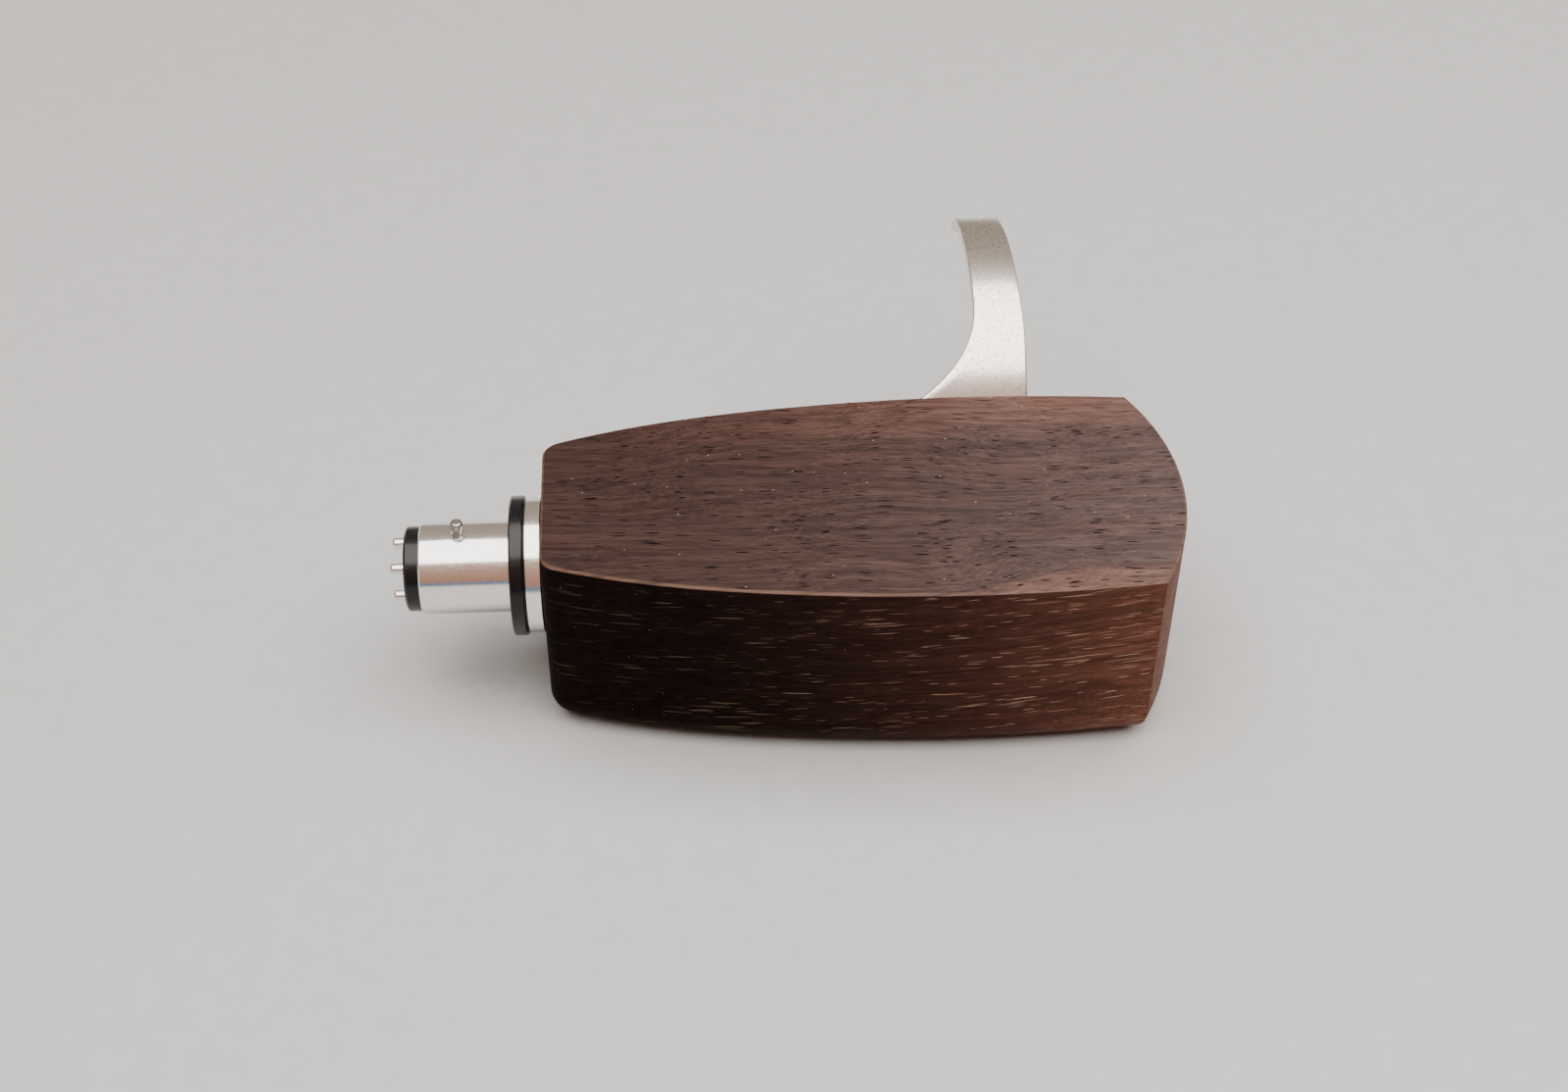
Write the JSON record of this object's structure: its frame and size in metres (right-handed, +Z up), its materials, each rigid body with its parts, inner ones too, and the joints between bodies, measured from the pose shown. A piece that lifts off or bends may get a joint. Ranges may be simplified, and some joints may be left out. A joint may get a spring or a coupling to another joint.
{
  "type": "tonearm headshell",
  "caption": "Hardwood tonearm headshell with a four-pin bayonet plug that turns for azimuth, a curved finger lift and a hollow underside with threaded inserts for a cartridge.",
  "frame": {"origin": "on the plug's axis, in the plane of the washer's face that the tonearm's collar closes on", "axes": "+X from the plug to the nose, +Y towards the finger lift, +Z up"},
  "size_m": [0.0686, 0.0485, 0.0251],
  "materials": {
    "wood": "open-pored dark hardwood, oiled satin",
    "plug_metal": "bright turned and plated",
    "pin_metal": "ground steel",
    "contact_metal": "bright plated",
    "rubber": "smooth black",
    "insulator": "moulded black, semi-matt",
    "brass": "machined",
    "screw_steel": "machined",
    "lift_aluminium": "satin, fine bead blast"
  },
  "bodies": {
    "shell": {"body_shell": "wood", "lock_bush": "brass", "lock_screw": "screw_steel", "cartridge_insert_left": "brass", "cartridge_insert_right": "brass", "finger_lift": "lift_aluminium", "lift_screw_rear": "screw_steel", "lift_screw_front": "screw_steel", "lift_insert_rear": "brass", "lift_insert_front": "brass"},
    "plug": {"plug_barrel": "plug_metal", "guide_pin": "pin_metal", "sealing_washer": "rubber", "pin_carrier_front": "insulator", "pin_carrier_rear": "insulator", "contact_pin_upper_left": "contact_metal", "contact_pin_upper_right": "contact_metal", "contact_pin_lower_left": "contact_metal", "contact_pin_lower_right": "contact_metal"}
  },
  "joints": [
    {"name": "azimuth", "type": "hinge", "parent": "shell", "child": "plug", "pos_m": [0, 0, 0], "axis": [1, 0, 0], "range_deg": [-10, 10]}
  ]
}
